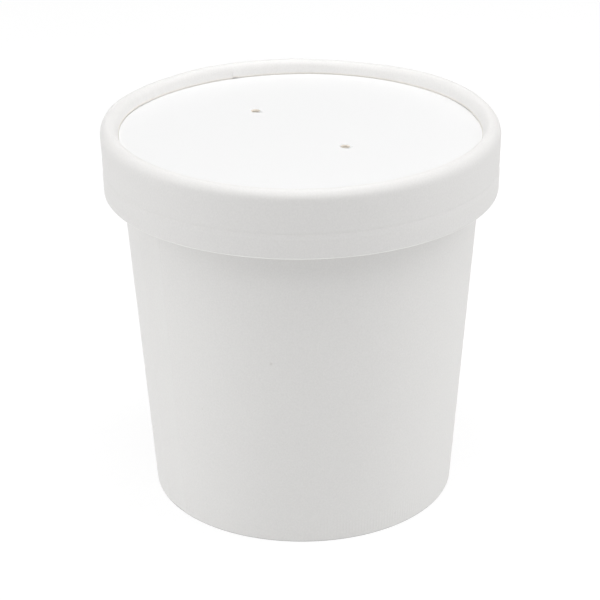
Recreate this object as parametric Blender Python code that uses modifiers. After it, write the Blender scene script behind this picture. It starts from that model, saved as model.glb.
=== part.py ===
"""A round white paper food container with its vented paper lid pressed on, at real size.

The cup is a conical paper sleeve with a rolled rim, a lapped side seam and a foot that
stands below the recessed base panel. The lid is a paper ring, curled over at its top and
crimped below the cup's rim, around a flat disc with two steam vents. The pack is shut, so
the cup is solid from its base panel up to its rim.

Blender 4.5, metres, +Z up. The origin is the centre of the foot, on the table.
"""

from math import cos, hypot, pi, radians, sin

import bmesh
import bpy

MM = 0.001

# Driving dimensions of the cup
FOOT_RADIUS = 40.03 * MM
WALL_RADIUS_AT_HEM = 45.94 * MM
CUP_HEIGHT = 97.1 * MM
RIM_RADIUS = 49.5 * MM
RIM_ROLL_RADIUS = 1.5 * MM
FOOT_THICKNESS = 1.45 * MM
FOOT_EDGE_RADIUS = 0.2 * MM
BASE_RECESS = 6.5 * MM

# Lapped side seam, where the sleeve overlaps itself
SEAM_WIDTH = radians(14)
SEAM_AZIMUTH = radians(270 - 57)
SEAM_STEP = 0.25 * MM
SEAM_ROOT = 1.0 * MM
SEAM_STEPS = 4

# Driving dimensions of the lid
LID_RADIUS = 51.0 * MM
LID_TOP = 101.4 * MM
CURL_TOP_RADIUS = 48.8 * MM
CURL_INNER_RADIUS = 46.25 * MM
CURL_INNER_WIDTH = 2.1 * MM
CURL_INNER_HEIGHT = 2.9 * MM
CURL_INNER_START = radians(151)
CURL_OUTER_HEIGHT = 3.3 * MM
HEM_HEIGHT = 83.6 * MM
HEM_RADIUS = 50.8 * MM
SKIRT_THICKNESS = 0.8 * MM
CRIMP_HEIGHT = 89.95 * MM
CRIMP_HALF_WIDTH = 0.6 * MM
CRIMP_DEPTH = 0.2 * MM
DISC_TOP = 97.9 * MM
DISC_RADIUS = 49.7 * MM

# Steam vents, a pair punched a little off the lid's centre
VENT_RADIUS = 1.2 * MM
VENT_PLACE_RADIUS = 18.0 * MM
VENT_PAIR_CENTRE = (-0.38 * MM, 1.7 * MM)
VENT_AZIMUTH = radians(129.5)
VENT_SIDES = 20

PAPER = 0.5 * MM
GAP = 0.3 * MM
STEPS = 72
AXIS_MERGE = 0.00001


def clear_scene():
    """Empties the scene that the script starts in."""
    for obj in list(bpy.data.objects):
        bpy.data.objects.remove(obj)


def new_collection(name):
    collection = bpy.data.collections.new(name)
    bpy.context.scene.collection.children.link(collection)
    return collection


def paper_material(name, colour, roughness):
    """Uncoated or lightly coated white board."""
    material = bpy.data.materials.new(name)
    material.use_nodes = True
    shader = material.node_tree.nodes["Principled BSDF"]
    shader.inputs["Base Color"].default_value = (*colour, 1.0)
    shader.inputs["Roughness"].default_value = roughness
    shader.inputs["Metallic"].default_value = 0.0
    return material


def oval_arc(centre, width, height, start, end, count):
    """Points (r, z) on an oval's arc in the profile's plane, from angle start to angle end."""
    r0, z0 = centre
    angles = [start + (end - start) * i / count for i in range(count + 1)]
    return [(r0 + width * cos(a), z0 + height * sin(a)) for a in angles]


def arc(centre, radius, start, end, count):
    """The same on a circle's arc."""
    return oval_arc(centre, radius, radius, start, end, count)


def wall_radius(z):
    """The sleeve's outer radius at a height: a straight cone from the foot to the rim."""
    return FOOT_RADIUS + (WALL_RADIUS_AT_HEM - FOOT_RADIUS) * z / HEM_HEIGHT


def skirt_radius(z):
    """The lid ring's outer radius, a little narrower at its hem than at its curl."""
    share = (z - HEM_HEIGHT) / (LID_TOP - CURL_OUTER_HEIGHT - HEM_HEIGHT)
    return HEM_RADIUS + (LID_RADIUS - HEM_RADIUS) * share


def place(obj, collection, material):
    collection.objects.link(obj)
    obj.data.materials.append(material)
    return obj


def turned(name, profile, closed, collection, material):
    """A solid turned about Z from a profile of (r, z) points that run down its outer side."""
    mesh = bpy.data.meshes.new(name)
    points = [(r, 0.0, z) for r, z in profile]
    edges = [(i, i + 1) for i in range(len(points) - 1)]
    if closed:
        edges.append((len(points) - 1, 0))
    mesh.from_pydata(points, edges, [])
    obj = place(bpy.data.objects.new(name, mesh), collection, material)
    screw = obj.modifiers.new("Turn", "SCREW")
    screw.steps = screw.render_steps = STEPS
    screw.use_merge_vertices = True
    screw.merge_threshold = AXIS_MERGE
    screw.use_smooth_shade = True
    return obj


def drum(name, radius, bottom, top, sides, collection, material):
    """An upright cylinder between two heights."""
    bpy.ops.mesh.primitive_cylinder_add(
        vertices=sides, radius=radius, depth=top - bottom, location=(0, 0, (top + bottom) / 2)
    )
    obj = bpy.context.active_object
    for holder in list(obj.users_collection):
        holder.objects.unlink(obj)
    obj.name = obj.data.name = name
    return place(obj, collection, material)


def as_helper(obj):
    """Marks a shape that only cuts or joins another."""
    obj.hide_render = True
    obj.display_type = "WIRE"
    return obj


def boolean(obj, helper, operation):
    modifier = obj.modifiers.new(helper.name, "BOOLEAN")
    modifier.operation = operation
    modifier.solver = "EXACT"
    modifier.object = helper


def cup_profile():
    """From the top over the rolled rim, down the wall and under the foot to the core."""
    roll = (RIM_RADIUS - RIM_ROLL_RADIUS, CUP_HEIGHT - RIM_ROLL_RADIUS)
    rim = arc(roll, RIM_ROLL_RADIUS, pi / 2, -pi / 2, 8)
    under_rim = roll[1] - RIM_ROLL_RADIUS
    e = FOOT_EDGE_RADIUS
    foot = arc((FOOT_RADIUS - e, e), e, 0, -pi / 2, 3)
    inside = FOOT_RADIUS - FOOT_THICKNESS
    heel = arc((inside + e, e), e, -pi / 2, -pi, 3)
    core = BASE_RECESS + PAPER + GAP
    return (
        [(0.0, CUP_HEIGHT)]
        + rim
        + [(wall_radius(under_rim), under_rim), (wall_radius(HEM_HEIGHT), HEM_HEIGHT)]
        + foot
        + heel
        + [(inside, core), (0.0, core)]
    )


def ring_profile():
    """The lid ring: over the curl, down the skirt with its crimp, round the hem and up inside."""
    underside = DISC_TOP + GAP
    inner = (CURL_TOP_RADIUS, LID_TOP - CURL_INNER_HEIGHT)
    outer = (CURL_TOP_RADIUS, LID_TOP - CURL_OUTER_HEIGHT)
    curl = [(CURL_INNER_RADIUS, underside)]
    curl += oval_arc(inner, CURL_INNER_WIDTH, CURL_INNER_HEIGHT, CURL_INNER_START, pi / 2, 6)
    curl += oval_arc(outer, LID_RADIUS - CURL_TOP_RADIUS, CURL_OUTER_HEIGHT, pi / 2, 0, 7)[1:]
    groove = []
    bead = []
    for offset, share in ((1, 0), (0.4, 0.85), (0, 1), (-0.4, 0.85), (-1, 0)):
        z = CRIMP_HEIGHT + offset * CRIMP_HALF_WIDTH
        groove.append((skirt_radius(z) - share * CRIMP_DEPTH, z))
        bead.insert(0, (skirt_radius(z) - SKIRT_THICKNESS - share * CRIMP_DEPTH, z))
    half = SKIRT_THICKNESS / 2
    hem = arc((HEM_RADIUS - half, HEM_HEIGHT + half), half, 0, -pi, 6)
    inside_top = (LID_RADIUS - SKIRT_THICKNESS, underside)
    return curl + groove + hem + bead + [inside_top]


def seam_strip(collection, material):
    """The raised lap of the side seam, from the foot up under the lid, rooted inside the wall."""
    low = FOOT_EDGE_RADIUS
    high = CUP_HEIGHT - 3 * RIM_ROLL_RADIUS
    slope = (WALL_RADIUS_AT_HEM - FOOT_RADIUS) / HEM_HEIGHT
    out = SEAM_STEP * hypot(1, slope)
    start = SEAM_AZIMUTH - SEAM_WIDTH / 2
    shape = bmesh.new()
    corners = []
    for z, side in ((low, out), (low, -SEAM_ROOT), (high, -SEAM_ROOT), (high, out)):
        r = wall_radius(z) + side
        corners.append(shape.verts.new((r * cos(start), r * sin(start), z)))
    face = shape.faces.new(corners)
    bmesh.ops.spin(
        shape, geom=[face], cent=(0, 0, 0), axis=(0, 0, 1), angle=SEAM_WIDTH, steps=SEAM_STEPS
    )
    bmesh.ops.recalc_face_normals(shape, faces=shape.faces)
    mesh = bpy.data.meshes.new("seam_lap")
    shape.to_mesh(mesh)
    shape.free()
    return as_helper(place(bpy.data.objects.new("seam_lap", mesh), collection, material))


def make_cup(parts, helpers, paper):
    """The sleeve with its rim, seam and foot, and the base panel recessed inside the foot."""
    cup = turned("cup_body", cup_profile(), False, parts, paper)
    boolean(cup, seam_strip(helpers, paper), "UNION")
    panel_radius = FOOT_RADIUS - FOOT_THICKNESS - GAP
    panel_top = BASE_RECESS + PAPER
    drum("base_panel", panel_radius, BASE_RECESS, panel_top, STEPS, parts, paper)


def make_lid(parts, helpers, paper, smooth_paper):
    """The curled and crimped ring, and the disc with its vents, held between ring and rim."""
    turned("lid_ring", ring_profile(), True, parts, paper)
    disc = drum("lid_disc", DISC_RADIUS, DISC_TOP - PAPER, DISC_TOP, STEPS, parts, smooth_paper)
    for number, azimuth in enumerate((VENT_AZIMUTH, VENT_AZIMUTH + pi), start=1):
        low = DISC_TOP - 3 * PAPER
        high = DISC_TOP + 2 * PAPER
        vent = drum(f"vent_{number}", VENT_RADIUS, low, high, VENT_SIDES, helpers, paper)
        vent.location.x = VENT_PAIR_CENTRE[0] + VENT_PLACE_RADIUS * cos(azimuth)
        vent.location.y = VENT_PAIR_CENTRE[1] + VENT_PLACE_RADIUS * sin(azimuth)
        boolean(disc, as_helper(vent), "DIFFERENCE")


def main():
    clear_scene()
    parts = new_collection("paper_container")
    helpers = new_collection("helpers")
    paper = paper_material("paper_sleeve", (0.84, 0.84, 0.83), 0.62)
    smooth_paper = paper_material("paper_disc", (0.88, 0.88, 0.88), 0.5)
    make_cup(parts, helpers, paper)
    make_lid(parts, helpers, paper, smooth_paper)


main()
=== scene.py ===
"""A round white paper food container with its vented paper lid, dressed for a bright studio.

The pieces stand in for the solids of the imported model, each at the same place and size but
for the small unevenness of paper: the conical sleeve with its lapped seam, rolled rim and
knurled foot, the base panel, the lid's curled and crimped ring with its own lap, and the
lid's disc with its two vents.
Lengths are in metres, +Z is up, and the photo's camera looks along +Y from above.
"""

from math import cos, exp, hypot, pi, radians, sin

import bmesh
import bpy
from bpy.props import FloatProperty, FloatVectorProperty, IntProperty, PointerProperty
from bpy.types import Operator, Panel, PropertyGroup
from mathutils import Matrix, Vector


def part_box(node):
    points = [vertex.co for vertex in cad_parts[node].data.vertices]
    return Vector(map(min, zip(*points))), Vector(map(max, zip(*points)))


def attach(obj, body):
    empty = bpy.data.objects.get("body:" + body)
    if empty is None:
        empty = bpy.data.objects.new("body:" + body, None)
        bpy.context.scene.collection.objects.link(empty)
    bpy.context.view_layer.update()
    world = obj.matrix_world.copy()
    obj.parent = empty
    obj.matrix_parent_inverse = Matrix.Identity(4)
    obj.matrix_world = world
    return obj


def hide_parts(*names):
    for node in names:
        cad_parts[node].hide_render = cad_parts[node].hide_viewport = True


bl_info = {
    "name": "Paper Container with Lid",
    "version": (1, 0, 0),
    "blender": (4, 5, 0),
    "location": "3D View > Sidebar > Paper Container",
    "description": "Builds the paper and board of a lidded food container and its studio",
    "category": "Add Mesh",
}

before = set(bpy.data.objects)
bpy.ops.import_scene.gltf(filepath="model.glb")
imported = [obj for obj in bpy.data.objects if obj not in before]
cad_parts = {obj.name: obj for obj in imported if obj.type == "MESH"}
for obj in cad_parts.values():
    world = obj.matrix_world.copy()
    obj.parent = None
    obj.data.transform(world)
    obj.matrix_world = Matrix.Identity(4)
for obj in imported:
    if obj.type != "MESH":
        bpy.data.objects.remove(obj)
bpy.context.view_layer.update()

MM = 0.001
CUP_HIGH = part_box("cup_body")[1]
DISC_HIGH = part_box("lid_disc")[1]
RING_LOW, RING_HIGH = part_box("lid_ring")
PANEL_LOW, PANEL_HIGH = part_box("base_panel")

# Share of fine fibres and of clouds in the grain of every paper
FIBRE_SHARE = 0.88
CLOUD_SHARE = 0.12

# Knurls in the sleeve and inside its foot: ridges in a turn, the height up to which they are
# whole, the height at which they end, and their depth
WALL_KNURL = (300, 2.0 * MM, 9.0 * MM, 0.012 * MM)
FOOT_KNURL = (120, 6.0 * MM, 12.0 * MM, 0.08 * MM)

# Stray fibres on the sleeve: azimuth in degrees, height and size in millimetres, and strength
STRAY_FIBRES = ((259.7, 52.6, 0.5, 0.4), (233.1, 35.7, 0.35, 0.25), (305.8, 4.1, 0.35, 0.25))

# Unevenness of the ring: the middle and the width of each stretch in degrees, and its height,
# in millimetres but for the bulges, which are shares of the ring's largest bulge
RIM_DIPS = ((121, 10, 0.22), (70, 12, -0.2), (38, 14, 0.14), (143, 14, -0.08), (270, 50, -0.65))
PLEATS = ((150, 9, 0.10), (97, 14, 0.07), (72, 8, 0.06), (30, 7, 0.05), (262, 11, 0.04))
GAPES = ((162, 14, 0.24), (19, 12, 0.26))
BULGES = ((165, 19, 1.0), (14, 12, -0.4))
PLEATS_PER_TURN = 92
INNER_ROUNDING_START = radians(151)
WEDGE_WIDTH = radians(3.0)
WEDGE_HEIGHT = 0.45 * MM
LAP_SLANT = radians(4.5)
DISC_CLEARANCE = 0.01 * MM

# Shares of the painted glow, an emission standing in for light through the lid, inside the curl
# and in the line below it
CURL_GLOW = 0.4
CREASE_GLOW = 0.6

# Softboxes, all turned to the middle of the container: place and size in metres
SOFTBOXES = {
    "top": ((0.0, 0.06, 1.05), 0.8),
    "front": ((0.0, -0.45, 1.0), 0.6),
    "left": ((-1.0, -0.15, 0.45), 1.0),
    "right": ((1.0, -0.15, 0.45), 1.0),
    "high_right": ((0.75, 0.0, 0.8), 0.6),
}
LIGHTS_AIM = (0, 0, 0.05)
TABLE_RINGS = (0.05, 0.1, 0.2, 0.4, 0.8, 1.6, 3.0, 6.0)
TABLE_SIDES = 48

# The photo's camera, fitted to the edges of the lid, the hem and the foot
PHOTO_WIDTH = 600.0
FOCAL_LENGTH_IN_PIXELS = 2035.85
SENSOR_WIDTH = 36.0
CAMERA_LIFT = radians(24.328)
CAMERA_ROLL = radians(-0.501)
CAMERA_AIM = (-0.588 * MM, 0, 50.289 * MM)
CAMERA_DISTANCE = 0.54


def length(name, default, description):
    """A length in metres, shown in the scene's own unit."""
    return FloatProperty(
        name=name, description=description, default=default, min=0.0, unit="LENGTH", precision=5
    )


def angle(name, default, description):
    """An azimuth about the container's axis, from +X towards +Y."""
    return FloatProperty(name=name, description=description, default=default, subtype="ANGLE")


def colour(name, default, description):
    """A linear paper colour."""
    return FloatVectorProperty(
        name=name,
        description=description,
        default=default,
        size=3,
        min=0.0,
        max=1.0,
        subtype="COLOR",
    )


def strength(name, default, description):
    """The power or brightness of a light."""
    return FloatProperty(name=name, description=description, default=default, min=0.0)


class ContainerCupSizes(PropertyGroup):
    """Sizes of the sleeve, its seam and its foot."""

    foot_radius: length("Foot radius", 40.03 * MM, "Outer radius of the sleeve at the table")
    hem_level_radius: length("Radius at hem", 45.94 * MM, "Sleeve radius level with the lid's hem")
    hem_level: length("Hem level", 83.6 * MM, "Height of the lid's hem above the table")
    rim_radius: length("Rim radius", CUP_HIGH[0], "Outer radius of the rolled rim")
    rim_roll: length("Rim roll", 1.5 * MM, "Radius of the roll of paper at the rim")
    height: length("Cup height", CUP_HIGH[2], "Height of the rolled rim above the table")
    foot_thickness: length("Foot thickness", 1.45 * MM, "Thickness of the folded foot")
    foot_edge: length("Foot edge", 0.3 * MM, "Radius of the foot's folded edge")
    recess: length("Base recess", PANEL_HIGH[2] + 0.3 * MM, "Height of the ceiling in the foot")
    seam_edge: angle("Seam edge", radians(219.6), "Where the outer ply of the side seam ends")
    seam_width: angle("Seam width", radians(13.5), "How far the two plies overlap")
    seam_step: length("Seam step", 0.06 * MM, "How far the outer ply stands proud")
    seam_flat: FloatProperty(
        name="Seam flatness",
        description="How flat the stiff double ply of the seam stays, from round to flat",
        default=0.85,
        min=0.0,
        max=1.0,
        subtype="FACTOR",
    )
    columns: IntProperty(name="Columns", description="Faces round the sleeve", default=216, min=24)


class ContainerLidSizes(PropertyGroup):
    """Sizes of the lid's ring, its disc and its vents."""

    radius: length("Lid radius", RING_HIGH[0], "Outer radius of the curl")
    top: length("Lid top", 101.4 * MM, "Height of the curl above the table")
    curl_top: length("Curl middle", 48.8 * MM, "Radius at which the curl is highest")
    curl_inner: length("Curl inside", 46.25 * MM, "Radius of the curl's inner side")
    curl_drop: length("Curl drop", 3.3 * MM, "How far the curl's outer side rounds down")
    inner_width: length("Inner width", 2.1 * MM, "Width of the curl's inner rounding")
    inner_height: length("Inner height", 2.9 * MM, "Height of the curl's inner rounding")
    hem: length("Hem level", RING_LOW[2], "Height of the skirt's lower edge")
    hem_radius: length("Hem radius", 50.7 * MM, "Outer radius of the skirt's lower edge")
    skirt_thickness: length("Skirt thickness", 0.8 * MM, "Thickness of the folded skirt")
    crimp_level: length("Crimp level", 89.95 * MM, "Height of the groove pressed into the skirt")
    crimp_width: length("Crimp half width", 0.4 * MM, "Half the width of the groove")
    crimp_depth: length("Crimp depth", 0.1 * MM, "Depth of the groove")
    band: length("Band", 0.09 * MM, "How far the skirt stands proud below the groove")
    bulge: length("Bulge", 0.5 * MM, "How far the curl is pushed out of round")
    ply: length("Ply", 0.1 * MM, "Step where the ring's strip of paper overlaps itself")
    lap_start: angle("Lap start", radians(87.0), "Where the outer end of the strip shows")
    lap_end: angle("Lap end", radians(113.5), "Where the inner end of the strip shows")
    disc_radius: length("Disc radius", DISC_HIGH[0], "Radius of the disc, hidden by the curl")
    disc_top: length("Disc top", DISC_HIGH[2], "Height of the disc's upper face")
    disc_thickness: length("Disc thickness", 0.5 * MM, "Thickness of the disc")
    vent_radius: length("Vent radius", 1.2 * MM, "Radius of the steam vents")
    vent_place: length("Vent place", 18.0 * MM, "Half the distance between the vents")
    vent_centre: FloatVectorProperty(
        name="Vent centre",
        description="Where the middle of the pair of vents lies beside the lid's centre",
        default=(-0.38 * MM, 1.7 * MM),
        size=2,
        unit="LENGTH",
        precision=5,
    )
    vent_azimuth: angle("Vent azimuth", radians(129.5), "Direction of the first vent")
    columns: IntProperty(name="Columns", description="Faces round the ring", default=240, min=24)


class ContainerPaperLooks(PropertyGroup):
    """Colours of the papers."""

    sleeve: colour("Sleeve", (0.799, 0.792, 0.779), "Outer board of the cup")
    ring: colour("Ring", (0.767, 0.759, 0.748), "Board of the lid's ring")
    disc: colour("Disc", (0.81, 0.81, 0.81), "Smooth board of the lid's disc")
    # Cut edges are lighter than the board, partly for the raw fibres that show there and partly as
    # a painted highlight of the light the hem catches from the table
    raw_edge: colour("Raw edge", (0.94, 0.93, 0.91), "Cut edges, where the fibres show")
    inner: colour("Inner board", (0.78, 0.735, 0.67), "Uncoated board seen through the vents")
    speck: colour("Speck", (0.50, 0.47, 0.43), "Stray fibres and dust in the paper")


class ContainerStudioLooks(PropertyGroup):
    """Brightness of the studio."""

    sky: strength("Sky", 0.185, "Even light from all round")
    top: strength("Top light", 6.1, "Softbox above")
    front: strength("Front light", 2.8, "Softbox above and in front")
    left: strength("Left light", 4.4, "Softbox at the left")
    right: strength("Right light", 2.6, "Softbox at the right")
    high_right: strength("High right light", 1.8, "Softbox higher up at the right")
    floor_glow: strength("Floor glow", 0.81, "How brightly the white table shines")
    # Strength of the painted glow: emission on the inner board, the vents' sides, the inside of
    # the curl and its lowest line, standing in for light through the lid
    through: strength("Light through the lid", 0.17, "Glow of the inner paper below the lid")


def ease(value):
    """A smooth step from 0 to 1."""
    value = min(1.0, max(0.0, value))
    return value * value * (3.0 - 2.0 * value)


def turn_from(azimuth, start):
    """The angle from start to azimuth, between minus pi and pi."""
    return (azimuth - start + pi) % (2.0 * pi) - pi


def hump(azimuth, middle, width):
    """A smooth swelling of height 1 round a middle; middle and width are in degrees."""
    turn = turn_from(azimuth, radians(middle)) / radians(width)
    return exp(-turn * turn)


def humps(azimuth, stretches):
    """The sum of the swellings of a few stretches."""
    return sum(rise * hump(azimuth, middle, width) for middle, width, rise in stretches)


def arc(centre, radius, start, end, count, height=None):
    """Points (r, z) on an arc, from angle start to angle end; a height makes it an oval's."""
    height = radius if height is None else height
    angles = [start + (end - start) * i / count for i in range(count + 1)]
    return [(centre[0] + radius * cos(a), centre[1] + height * sin(a)) for a in angles]


def run(start, end, count):
    """Points between two (r, z) points, without the first."""
    out, rise = end[0] - start[0], end[1] - start[1]
    steps = [i / count for i in range(1, count + 1)]
    return [(start[0] + out * t, start[1] + rise * t) for t in steps]


def azimuths(columns, edges=()):
    """Even azimuths round the circle, with a few more close to each sharp edge."""
    step = 2.0 * pi / columns
    fine = radians(0.16)
    values = [step * i for i in range(columns)]
    extra = []
    for edge in edges:
        values = [a for a in values if abs(turn_from(a, edge)) > step * 0.8]
        extra += [(edge + fine * k) % (2.0 * pi) for k in (-3.4, -1.5, -0.5, 0.5, 1.5, 3.4)]
    return sorted(values + extra)


def turned_mesh(name, rows, around, closed, bend):
    """A mesh turned about Z; bend(azimuth, row, r, z) gives each point its true place.

    A row at the axis becomes one point. The rows run down the outer side, so the faces
    look outwards. A closed profile joins its last row to its first. Each face keeps the
    number of its upper row, by which the papers are given out.
    """
    shape = bmesh.new()
    grid = []
    for index, (r, z) in enumerate(rows):
        if r < 1e-6:
            grid.append([shape.verts.new((0.0, 0.0, z))] * len(around))
            continue
        ring = []
        for azimuth in around:
            true_r, true_z = bend(azimuth, index, r, z)
            ring.append(shape.verts.new((true_r * cos(azimuth), true_r * sin(azimuth), true_z)))
        grid.append(ring)
    pairs = list(zip(range(len(rows) - 1), range(1, len(rows))))
    if closed:
        pairs.append((len(rows) - 1, 0))
    row_of = shape.faces.layers.int.new("row")
    for upper, lower in pairs:
        for i in range(len(around)):
            j = (i + 1) % len(around)
            corners = []
            for vert in (grid[upper][i], grid[lower][i], grid[lower][j], grid[upper][j]):
                if vert not in corners:
                    corners.append(vert)
            face = shape.faces.new(corners)
            face.smooth = True
            face[row_of] = upper
    mesh = bpy.data.meshes.new(name)
    shape.to_mesh(mesh)
    shape.free()
    return mesh


def settle(name, mesh, node, materials):
    """Puts a piece on the model in place of a solid, with its papers."""
    if not mesh.polygons:
        raise RuntimeError(f"{name} has no faces")
    mesh.attributes.remove(mesh.attributes["row"])
    piece = bpy.data.objects.new(name, mesh)
    bpy.context.scene.collection.objects.link(piece)
    for material in materials:
        mesh.materials.append(material)
    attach(piece, "root")
    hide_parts(node)
    return piece


class Paper:
    """Builds one paper: its tone, mottling, specks, fibre grain and bump."""

    def __init__(self, name, tone, roughness):
        self.material = bpy.data.materials.new(name)
        self.material.use_nodes = True
        self.tree = self.material.node_tree
        self.shader = self.tree.nodes["Principled BSDF"]
        self.shader.inputs["Roughness"].default_value = roughness
        self.shader.inputs["Metallic"].default_value = 0.0
        self.shader.inputs["Specular IOR Level"].default_value = 0.35
        self.place = self.add("ShaderNodeTexCoord").outputs["Object"]
        self.tone = tone
        self.roughness = roughness
        self.colour = None
        self.fibres = None
        self.cloud = None
        self.height = None

    def add(self, kind, **values):
        node = self.tree.nodes.new(kind)
        for key, value in values.items():
            setattr(node, key, value)
        return node

    def link(self, output, socket):
        self.tree.links.new(output, socket)

    def math(self, operation, first, second=None, third=None, clamp=False):
        node = self.add("ShaderNodeMath", operation=operation, use_clamp=clamp)
        for socket, value in zip(node.inputs, (first, second, third)):
            if value is None:
                continue
            if isinstance(value, (int, float)):
                socket.default_value = value
            else:
                self.link(value, socket)
        return node.outputs[0]

    def noise(self, scale, detail, stretch=(1.0, 1.0, 1.0)):
        mapping = self.add("ShaderNodeMapping")
        mapping.inputs["Scale"].default_value = stretch
        self.link(self.place, mapping.inputs["Vector"])
        node = self.add("ShaderNodeTexNoise")
        node.inputs["Scale"].default_value = scale
        node.inputs["Detail"].default_value = detail
        self.link(mapping.outputs[0], node.inputs["Vector"])
        return node.outputs[0]

    def parts(self):
        """The x, y and z of the place."""
        node = self.add("ShaderNodeSeparateXYZ")
        self.link(self.place, node.inputs[0])
        return node.outputs

    def blend(self, share, first, second):
        """A colour between two colours."""
        node = self.add("ShaderNodeMix", data_type="RGBA")
        self.link(share, node.inputs["Factor"])
        for socket, value in ((node.inputs[6], first), (node.inputs[7], second)):
            if isinstance(value, (tuple, list)):
                socket.default_value = (*value, 1.0)
            else:
                self.link(value, socket)
        return node.outputs[2]

    def grain(self, fibre=2600.0, mottle=90.0, contrast=0.05):
        """Cloudy mottling and fine fibres in the colour."""
        cloud = self.noise(mottle, 3.0)
        fibres = self.noise(fibre, 2.0, (1.0, 1.0, 0.8))
        fine = self.math("MULTIPLY", fibres, FIBRE_SHARE)
        share = self.math("MULTIPLY_ADD", cloud, CLOUD_SHARE, fine)
        dark = tuple(c * (1.0 - contrast) for c in self.tone)
        light = tuple(min(1.0, c * (1.0 + contrast)) for c in self.tone)
        self.colour = self.blend(share, dark, light)
        self.fibres = fibres
        self.cloud = cloud
        return self

    def specks(self, speck, scale=150.0, size=0.045, share=0.04):
        """Rare tiny dark fibres, in a few of the cells of a scatter."""
        cells = self.add("ShaderNodeTexVoronoi")
        cells.inputs["Scale"].default_value = scale
        self.link(self.place, cells.inputs["Vector"])
        near = self.math("LESS_THAN", cells.outputs["Distance"], size)
        chance = self.add("ShaderNodeSeparateColor")
        self.link(cells.outputs["Color"], chance.inputs[0])
        rare = self.math("LESS_THAN", chance.outputs[0], share)
        spot = self.math("MULTIPLY", near, rare)
        spot = self.math("MULTIPLY", spot, 0.6)
        self.colour = self.blend(spot, self.colour, tuple(speck))
        return self

    def mark(self, speck, place, size, amount):
        """One stray fibre at a place."""
        node = self.add("ShaderNodeVectorMath", operation="DISTANCE")
        self.link(self.place, node.inputs[0])
        node.inputs[1].default_value = place
        far = self.math("DIVIDE", node.outputs["Value"], size, clamp=True)
        near = self.math("SUBTRACT", 1.0, far)
        spot = self.math("MULTIPLY", near, amount)
        self.colour = self.blend(spot, self.colour, tuple(speck))
        return self

    def knurl(self, teeth, low, high, depth):
        """Fine upright ridges round the axis, whole up to low and fading out at high."""
        x, y, z = self.parts()
        turn = self.math("ARCTAN2", y, x)
        wave = self.math("SINE", self.math("MULTIPLY", turn, float(teeth)))
        fade = self.math("SUBTRACT", high, z)
        fade = self.math("DIVIDE", fade, high - low, clamp=True)
        ridge = self.math("MULTIPLY", self.math("MULTIPLY", wave, fade), depth)
        self.height = ridge
        return self

    def paint_glow_inside(self, radius, fade, glow):
        """A painted glow: an emission that stands in for light coming through the thin paper,
        within a radius round the axis.
        """
        x, y = self.parts()[:2]
        square = self.math("MULTIPLY_ADD", x, x, self.math("MULTIPLY", y, y))
        depth = self.math("SUBTRACT", radius, self.math("SQRT", square))
        share = self.math("DIVIDE", depth, fade, clamp=True)
        power = self.math("MULTIPLY", share, glow)
        self.link(power, self.shader.inputs["Emission Strength"])
        self.link(self.colour, self.shader.inputs["Emission Color"])
        return self

    def finish(self, bump=0.012 * MM):
        """Joins the colour, the roughness and the bump to the shader."""
        self.link(self.colour, self.shader.inputs["Base Color"])
        rough = self.math("MULTIPLY_ADD", self.fibres, 0.12, self.roughness - 0.06)
        self.link(rough, self.shader.inputs["Roughness"])
        height = self.math("MULTIPLY", self.fibres, bump)
        height = self.math("MULTIPLY_ADD", self.cloud, bump * 2.0, height)
        if self.height is not None:
            height = self.math("ADD", height, self.height)
        node = self.add("ShaderNodeBump")
        node.inputs["Strength"].default_value = 1.0
        node.inputs["Distance"].default_value = 1.0
        self.link(height, node.inputs["Height"])
        self.link(node.outputs[0], self.shader.inputs["Normal"])
        return self.material


def board(name, tone, speck, roughness, contrast):
    """Ordinary white board with fibres, mottling and a few specks."""
    return Paper(name, tuple(tone), roughness).grain(contrast=contrast).specks(speck).finish()


def plain_paper(name, tone):
    """Paper without specks, for cut and folded edges."""
    return Paper(name, tuple(tone), 0.7).grain(contrast=0.08).finish(0.02 * MM)


def painted_glow_paper(name, tone, glow):
    """Paper with a painted glow: an emission that stands in for the light coming to it through the
    lid's thin board.
    """
    surface = Paper(name, tuple(tone), 0.7).grain(contrast=0.08)
    material = surface.finish(0.02 * MM)
    surface.link(surface.colour, surface.shader.inputs["Emission Color"])
    surface.shader.inputs["Emission Strength"].default_value = glow
    return material


def wall_radius(cup, z):
    """The sleeve's outer radius at a height."""
    return cup.foot_radius + (cup.hem_level_radius - cup.foot_radius) * z / cup.hem_level


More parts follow.
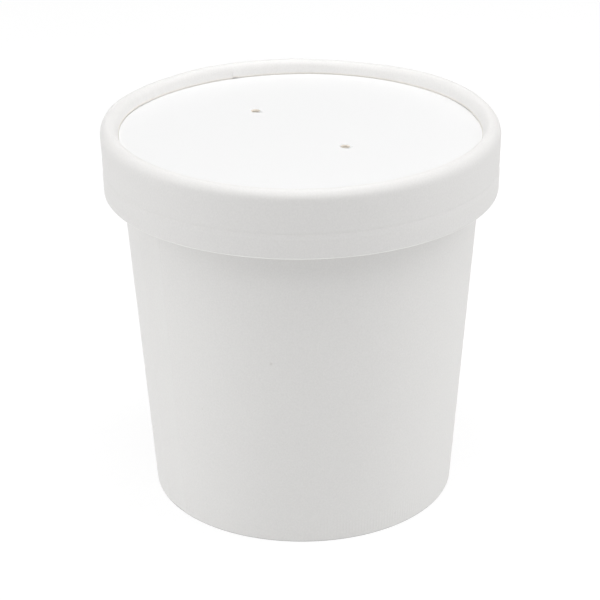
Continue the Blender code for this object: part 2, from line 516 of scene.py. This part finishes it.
class CONTAINER_OT_cup_sleeve(Operator):
    """Build the sleeve with its seam, rolled rim and folded foot"""

    bl_idname = "container.cup_sleeve"
    bl_label = "Cup Sleeve"
    core_rows = 3
    # Rows of the foot's rounded edge, which carry a painted contact shadow
    painted_shadow_rows = 8

    def profile(self, cup):
        """Rows from the middle over the rim, down the wall and into the foot."""
        roll = (cup.rim_radius - cup.rim_roll, cup.height - cup.rim_roll)
        rim = arc(roll, cup.rim_roll, pi / 2, -pi / 2, 10)
        top = roll[1] - cup.rim_roll
        edge = cup.foot_edge
        inside = cup.foot_radius - cup.foot_thickness
        rows = [(0.0, cup.height), (12 * MM, cup.height), (30 * MM, cup.height)]
        rows += rim
        rows += [(wall_radius(cup, top) + 0.3 * MM, top), (wall_radius(cup, top), top - 0.3 * MM)]
        self.wall_first = len(rows) - 1
        rows += run(rows[-1], (wall_radius(cup, edge), edge), 30)
        self.wall_last = len(rows) - 1
        rows += arc((cup.foot_radius - edge, edge), edge, 0, -pi / 2, 6)[1:]
        rows += arc((inside + edge, edge), edge, -pi / 2, -pi, 6)
        rows += run(rows[-1], (inside, cup.recess - 0.3 * MM), 4)
        rows += [(inside, cup.recess), (inside - 0.3 * MM, cup.recess), (20 * MM, cup.recess)]
        rows += [(0.0, cup.recess)]
        return rows

    def place_on(self, cup, azimuth, level):
        """A point on the wall at an azimuth in degrees and a level in millimetres."""
        r = wall_radius(cup, level * MM)
        return r * cos(radians(azimuth)), r * sin(radians(azimuth)), level * MM

    def execute(self, context):
        scene = context.scene
        cup, paper, studio = scene.container_cup, scene.container_paper, scene.container_studio
        rows = self.profile(cup)
        first, last = self.wall_first, self.wall_last
        half = cup.seam_width / 2

        def bend(azimuth, row, r, z):
            turn = turn_from(azimuth, cup.seam_edge)
            sharp = ease(0.5 - turn / radians(0.6))
            soft = ease((turn + cup.seam_width) / radians(1.6) + 0.5)
            share = ease((row - first + 1) / 2.0) * ease((last + 5 - row) / 5.0)
            if abs(turn + half) < half:
                r -= cup.seam_flat * share * r * (1.0 - cos(half) / cos(turn + half))
            return r + cup.seam_step * sharp * soft * share, z

        edges = (cup.seam_edge, cup.seam_edge - cup.seam_width)
        mesh = turned_mesh("sleeve", rows, azimuths(cup.columns, edges), False, bend)
        wall = Paper("sleeve_board", tuple(paper.sleeve), 0.6).grain(contrast=0.065)
        wall = wall.specks(paper.speck)
        for azimuth, level, size, amount in STRAY_FIBRES:
            wall.mark(paper.speck, self.place_on(cup, azimuth, level), size * MM, amount)
        wall = wall.knurl(*WALL_KNURL).finish()
        # The foot's folded edge is painted darker than the sleeve: a painted contact shadow where
        # the foot meets the table
        shaded_fold = plain_paper("folded_edge", [c * 0.6 for c in paper.sleeve])
        # The cup's top, seen through the vents, is inner board with a painted glow that lifts the
        # shade in the vents
        inner = painted_glow_paper("inner_board", paper.inner, studio.through)
        foot = Paper("foot_board", tuple(paper.sleeve), 0.65).grain(contrast=0.05)
        foot = foot.specks(paper.speck).knurl(*FOOT_KNURL).finish()
        row_of = mesh.attributes["row"].data
        for face in mesh.polygons:
            row = row_of[face.index].value
            if row < self.core_rows:
                face.material_index = 1
            elif row >= last + self.painted_shadow_rows:
                face.material_index = 2
            elif row >= last:
                face.material_index = 3
        settle("cup_sleeve", mesh, "cup_body", (wall, inner, foot, shaded_fold))
        return {"FINISHED"}


class CONTAINER_OT_cup_base(Operator):
    """Build the base panel that is held up inside the foot"""

    bl_idname = "container.cup_base"
    bl_label = "Base Panel"

    def execute(self, context):
        paper = context.scene.container_paper
        radius = PANEL_HIGH[0]
        low, high = PANEL_LOW[2], PANEL_HIGH[2]
        edge = 0.15 * MM
        rows = [(0.0, high), (radius * 0.5, high), (radius - edge, high)]
        rows += arc((radius - edge, high - edge), edge, pi / 2, 0, 3)[1:]
        rows += arc((radius - edge, low + edge), edge, 0, -pi / 2, 3)
        rows += [(radius * (1 - 0.06 * k), low) for k in range(1, 16)]
        rows += [(0.0, low)]

        def bend(azimuth, row, r, z):
            if z > low + edge / 2:
                return r, z
            wave = 0.05 * MM * sin(2 * azimuth + 0.7) * sin(pi * r / radius)
            press = 0.12 * MM * exp(-(((r - radius * 0.9) / (0.5 * MM)) ** 2))
            return r, z + press + wave * ease((radius - r) / (4 * MM))

        mesh = turned_mesh("base_panel", rows, azimuths(96), False, bend)
        sheet = board("base_board", paper.sleeve, paper.speck, 0.62, 0.05)
        settle("cup_base", mesh, "base_panel", (sheet,))
        return {"FINISHED"}


class CONTAINER_OT_lid_ring(Operator):
    """Build the ring: its curl, its skirt with the crimp and hem, and the lap of its strip"""

    bl_idname = "container.lid_ring"
    bl_label = "Lid Ring"

    def skirt(self, lid, z):
        """The skirt's outer radius at a height."""
        share = (z - lid.hem) / (lid.top - lid.curl_drop - lid.hem)
        low = lid.band * ease((lid.crimp_level - 0.6 * MM - z) / (0.9 * MM))
        return lid.hem_radius + (lid.radius - lid.hem_radius) * share + low

    def profile(self, lid):
        """Rows over the curl, down the skirt, round the hem and up inside, as (r, z)."""
        underside = lid.disc_top + DISC_CLEARANCE
        inner = (lid.curl_top, lid.top - lid.inner_height)
        outer = (lid.curl_top, lid.top - lid.curl_drop)
        start = INNER_ROUNDING_START
        rounding = arc(inner, lid.inner_width, start, pi / 2, 10, lid.inner_height)
        rows = [(lid.curl_inner, underside)] + run((lid.curl_inner, underside), rounding[0], 4)
        rows += rounding[1:]
        rows += arc(outer, lid.radius - lid.curl_top, pi / 2, 0, 14, lid.curl_drop)[1:]
        self.curl_last = len(rows) - 1
        above = lid.crimp_level + 1.2 * MM
        below = lid.crimp_level - 1.8 * MM
        rows += run(rows[-1], (self.skirt(lid, above), above), 8)
        for k in range(1, 17):
            z = above + (below - above) * k / 16
            rows.append((self.skirt(lid, z) - self.groove(lid, z), z))
        half = lid.skirt_thickness / 2
        edge = lid.hem_radius + lid.band
        rows += run((self.skirt(lid, below), below), (edge, lid.hem + half), 6)
        self.hem_first = len(rows) - 1
        rows += arc((edge - half, lid.hem + half), half, 0, -pi, 8)[1:]
        self.hem_last = len(rows) - 1
        inner = edge - lid.skirt_thickness
        rows += run((inner, lid.hem + half), (inner, below), 3)
        for k in range(1, 9):
            z = below + (above - below) * k / 8
            rows.append((self.skirt(lid, z) - lid.skirt_thickness - self.groove(lid, z), z))
        corner = (lid.radius - lid.skirt_thickness, underside)
        rows += run(rows[-1], (corner[0], corner[1] - 0.3 * MM), 3)
        rows += [(corner[0] - 0.3 * MM, corner[1])]
        rows += run(rows[-1], (rows[0][0] + 0.5 * MM, underside), 2)
        return rows

    def groove(self, lid, z):
        """How far the crimp presses the paper in at a height."""
        return lid.crimp_depth * exp(-(((z - lid.crimp_level) / (lid.crimp_width * 0.75)) ** 2))

    def execute(self, context):
        scene = context.scene
        lid, paper, studio = scene.container_lid, scene.container_paper, scene.container_studio
        rows = self.profile(lid)
        centre = (lid.curl_top, lid.top - lid.curl_drop)
        curl_last, hem_first = self.curl_last, self.hem_first

        def out_of_round(azimuth, z):
            """The curl is pushed out at its left and in at its right; the skirt is round."""
            share = ease((z - lid.top + 8 * MM) / (6 * MM))
            return lid.bulge * share * humps(azimuth, BULGES)

        def sway(azimuth):
            """How far the top of the curl rises and dips; it sags a little at the front."""
            return MM * humps(azimuth, RIM_DIPS)

        def pleats(azimuth, row):
            """Small ripples inside the curl, in a few stretches of the ring."""
            total = 0.0
            for middle, width, depth in PLEATS:
                ripple = sin(azimuth * PLEATS_PER_TURN + middle)
                total += depth * hump(azimuth, middle, width) * ripple
            return total * MM * ease(1.3 - row / (curl_last * 0.55))

        def bend(azimuth, row, r, z):
            if row > hem_first + 3:
                return r + out_of_round(azimuth, z), z
            along = min(1.0, row / curl_last)
            start = lid.lap_start + LAP_SLANT * (1.0 - along)
            sharp = ease(turn_from(azimuth, start) / radians(0.3) + 0.5)
            inner_end = turn_from(azimuth, lid.lap_end)
            soft = ease(0.5 - inner_end / radians(1.0 if row < 3 else 6.0))
            proud = lid.ply * sharp * soft
            if row <= curl_last:
                out_r, out_z = r - centre[0], z - centre[1]
                size = hypot(out_r, out_z)
                grow = (size + proud + pleats(azimuth, row)) / size
                lift = 0.0
                if row < 4:
                    lift = humps(azimuth, GAPES) * MM * (1 - row / 4)
                wedge = turn_from(azimuth, lid.lap_end)
                if -WEDGE_WIDTH < wedge < 0.0 and row < 5:
                    lift += WEDGE_HEIGHT * (1 + wedge / WEDGE_WIDTH) * (1 - row / 5)
                lift += sway(azimuth) * ease((z - centre[1]) / lid.curl_drop)
                out = out_of_round(azimuth, z)
                return centre[0] + out_r * grow + out, centre[1] + out_z * grow + lift
            return r + proud + out_of_round(azimuth, z), z

        around = azimuths(lid.columns, (lid.lap_start, lid.lap_start + radians(2), lid.lap_end))
        mesh = turned_mesh("ring", rows, around, True, bend)
        skin = Paper("ring_board", tuple(paper.ring), 0.55).grain(contrast=0.065)
        skin = skin.specks(paper.speck)
        # The inside of the curl gets a painted glow that lifts its shade
        skin.paint_glow_inside(lid.curl_top + 0.3 * MM, 1.5 * MM, studio.through * CURL_GLOW)
        skin = skin.finish()
        # The hem's cut edge: its light tone is partly the raw fibres and partly a painted
        # highlight
        cut_edge_highlight = plain_paper("raw_edge", paper.raw_edge)
        # The lowest strip inside the curl, where it meets the disc, gets a tone mixed from the
        # ring and the inner board and a painted glow that lifts the shade in that line
        warm = [(outside + inside) / 2 for outside, inside in zip(paper.ring, paper.inner)]
        glowing_crease = painted_glow_paper("crease_paper", warm, studio.through * CREASE_GLOW)
        row_of = mesh.attributes["row"].data
        for face in mesh.polygons:
            row = row_of[face.index].value
            if row == 0:
                face.material_index = 2
            # The hem's rounding takes the cut edge's paper, with its painted highlight
            elif hem_first + 1 <= row < self.hem_last:
                face.material_index = 1
        settle("lid_ring_paper", mesh, "lid_ring", (skin, cut_edge_highlight, glowing_crease))
        return {"FINISHED"}


class CONTAINER_OT_lid_disc(Operator):
    """Build the disc inside the ring, with its two steam vents"""

    bl_idname = "container.lid_disc"
    bl_label = "Lid Disc"

    def punch(self, context, name, middle, radius, materials):
        """An upright drum whose sides, once cut out, have the second of two papers."""
        shape = bmesh.new()
        bmesh.ops.create_cone(
            shape,
            cap_ends=True,
            segments=32,
            radius1=radius,
            radius2=radius,
            depth=4 * MM,
            matrix=Matrix.Translation(middle),
        )
        mesh = bpy.data.meshes.new(name)
        shape.to_mesh(mesh)
        shape.free()
        for material in materials:
            mesh.materials.append(material)
        for face in mesh.polygons:
            face.material_index = 1
        drum = bpy.data.objects.new(name, mesh)
        context.scene.collection.objects.link(drum)
        return drum

    def execute(self, context):
        scene = context.scene
        lid, paper, studio = scene.container_lid, scene.container_paper, scene.container_studio
        top, low = lid.disc_top, lid.disc_top - lid.disc_thickness
        edge = 0.2 * MM
        radius = lid.disc_radius
        rows = [(0.0, top)] + [(radius * k / 24, top) for k in range(1, 24)]
        rows += [(radius - edge, top)]
        rows += arc((radius - edge, top - edge), edge, pi / 2, 0, 3)[1:]
        rows += arc((radius - edge, low + edge), edge, 0, -pi / 2, 3)
        rows += [(radius * 0.6, low), (0.0, low)]

        def bend(azimuth, row, r, z):
            if z < top - edge / 2:
                return r, z
            wave = sin(2 * azimuth + 0.9) + 0.5 * sin(3 * azimuth + 4 * r / radius)
            return r, z + 0.05 * MM * wave * sin(pi * min(1.0, r / (radius - 4 * MM)))

        mesh = turned_mesh("disc", rows, azimuths(144), False, bend)
        smooth = board("disc_board", paper.disc, paper.speck, 0.5, 0.014)
        # The vents' cut sides are inner board with the same painted glow
        cut = painted_glow_paper("vent_edge", paper.inner, studio.through)
        disc = settle("lid_disc_paper", mesh, "lid_disc", (smooth, cut))
        punches = []
        for turn in (0.0, pi):
            middle = Vector((lid.vent_place, 0, (top + low) / 2))
            middle.rotate(Matrix.Rotation(lid.vent_azimuth + turn, 3, "Z"))
            middle += Vector((*lid.vent_centre, 0.0))
            punch = self.punch(context, "vent_punch", middle, lid.vent_radius, (smooth, cut))
            cutter = disc.modifiers.new("vent", "BOOLEAN")
            cutter.solver = "EXACT"
            cutter.operation = "DIFFERENCE"
            cutter.object = punch
            punches.append(punch)
        context.view_layer.update()
        cut_mesh = bpy.data.meshes.new_from_object(
            disc.evaluated_get(context.evaluated_depsgraph_get())
        )
        disc.modifiers.clear()
        disc.data = cut_mesh
        for punch in punches:
            bpy.data.objects.remove(punch)
        if len(cut_mesh.polygons) < 1000:
            raise RuntimeError("the vents could not be cut")
        return {"FINISHED"}


class CONTAINER_OT_studio(Operator):
    """Set up the pale table, the soft lights and the camera"""

    bl_idname = "container.studio"
    bl_label = "Studio"

    def softbox(self, context, name, place, size, power):
        """An area light that faces the container."""
        light = bpy.data.lights.new(name, "AREA")
        light.shape = "SQUARE"
        light.size = size
        light.energy = power
        lamp = bpy.data.objects.new(name, light)
        lamp.location = place
        aim = Vector(LIGHTS_AIM) - Vector(place)
        lamp.rotation_euler = aim.to_track_quat("-Z", "Y").to_euler()
        context.scene.collection.objects.link(lamp)

    def table(self, context, glow):
        """A wide, flat, round table, pale and matt, with a faint grain and an even shine."""
        shape = bmesh.new()
        around = azimuths(TABLE_SIDES)
        grid = []
        for r in TABLE_RINGS:
            grid.append([shape.verts.new((r * cos(a), r * sin(a), 0.0)) for a in around])
        shape.faces.new(grid[0])
        for inner, outer in zip(grid, grid[1:]):
            for i in range(TABLE_SIDES):
                j = (i + 1) % TABLE_SIDES
                shape.faces.new((inner[i], outer[i], outer[j], inner[j]))
        mesh = bpy.data.meshes.new("table")
        shape.to_mesh(mesh)
        shape.free()
        floor = bpy.data.objects.new("table", mesh)
        context.scene.collection.objects.link(floor)
        surface = Paper("table_top", (0.2, 0.2, 0.2), 0.8).grain(40.0, 6.0, 0.01)
        material = surface.finish(0.002 * MM)
        surface.shader.inputs["Emission Color"].default_value = (1, 1, 1, 1)
        surface.shader.inputs["Emission Strength"].default_value = glow
        mesh.materials.append(material)

    def camera(self, context):
        """A long lens, a little above and in front, rolled by half a degree."""
        back = Vector((0, -cos(CAMERA_LIFT), sin(CAMERA_LIFT)))
        right = Vector((1, 0, 0))
        up = Vector((0, sin(CAMERA_LIFT), cos(CAMERA_LIFT)))
        turned_right = cos(CAMERA_ROLL) * right + sin(CAMERA_ROLL) * up
        turned_up = cos(CAMERA_ROLL) * up - sin(CAMERA_ROLL) * right
        data = bpy.data.cameras.new("camera")
        data.sensor_width = SENSOR_WIDTH
        data.lens = FOCAL_LENGTH_IN_PIXELS * SENSOR_WIDTH / PHOTO_WIDTH
        data.clip_start = 0.01
        data.clip_end = 50.0
        eye = bpy.data.objects.new("camera", data)
        axes = Matrix((turned_right, turned_up, back)).transposed()
        place = Vector(CAMERA_AIM) + back * CAMERA_DISTANCE
        eye.matrix_world = Matrix.Translation(place) @ axes.to_4x4()
        context.scene.collection.objects.link(eye)
        context.scene.camera = eye

    def execute(self, context):
        scene = context.scene
        studio = scene.container_studio
        scene.view_settings.view_transform = "Standard"
        scene.view_settings.look = "None"
        world = bpy.data.worlds.new("studio_sky")
        world.use_nodes = True
        sky = world.node_tree.nodes["Background"]
        sky.inputs["Color"].default_value = (1, 1, 1, 1)
        sky.inputs["Strength"].default_value = studio.sky
        scene.world = world
        for name, (place, size) in SOFTBOXES.items():
            self.softbox(context, f"{name}_light", place, size, getattr(studio, name))
        self.table(context, studio.floor_glow)
        self.camera(context)
        return {"FINISHED"}


class CONTAINER_PT_pieces(Panel):
    """Lists the pieces and their values"""

    bl_idname = "CONTAINER_PT_pieces"
    bl_label = "Paper Container"
    bl_space_type = "VIEW_3D"
    bl_region_type = "UI"
    bl_category = "Paper Container"

    def draw(self, context):
        column = self.layout.column()
        for operator in OPERATORS:
            column.operator(operator.bl_idname)
        for key in GROUPS:
            group = getattr(context.scene, key)
            box = self.layout.box()
            for value in group.__annotations__:
                box.prop(group, value)


GROUPS = {
    "container_cup": ContainerCupSizes,
    "container_lid": ContainerLidSizes,
    "container_paper": ContainerPaperLooks,
    "container_studio": ContainerStudioLooks,
}
OPERATORS = (
    CONTAINER_OT_cup_sleeve,
    CONTAINER_OT_cup_base,
    CONTAINER_OT_lid_ring,
    CONTAINER_OT_lid_disc,
    CONTAINER_OT_studio,
)
CLASSES = (*GROUPS.values(), *OPERATORS, CONTAINER_PT_pieces)


def register():
    for item in CLASSES:
        bpy.utils.register_class(item)
    for key, group in GROUPS.items():
        setattr(bpy.types.Scene, key, PointerProperty(type=group))


def unregister():
    for key in GROUPS:
        delattr(bpy.types.Scene, key)
    for item in reversed(CLASSES):
        bpy.utils.unregister_class(item)


def main():
    register()
    bpy.ops.container.cup_sleeve()
    bpy.ops.container.cup_base()
    bpy.ops.container.lid_ring()
    bpy.ops.container.lid_disc()
    bpy.ops.container.studio()
    bpy.context.view_layer.update()


if __name__ == "__main__":
    main()
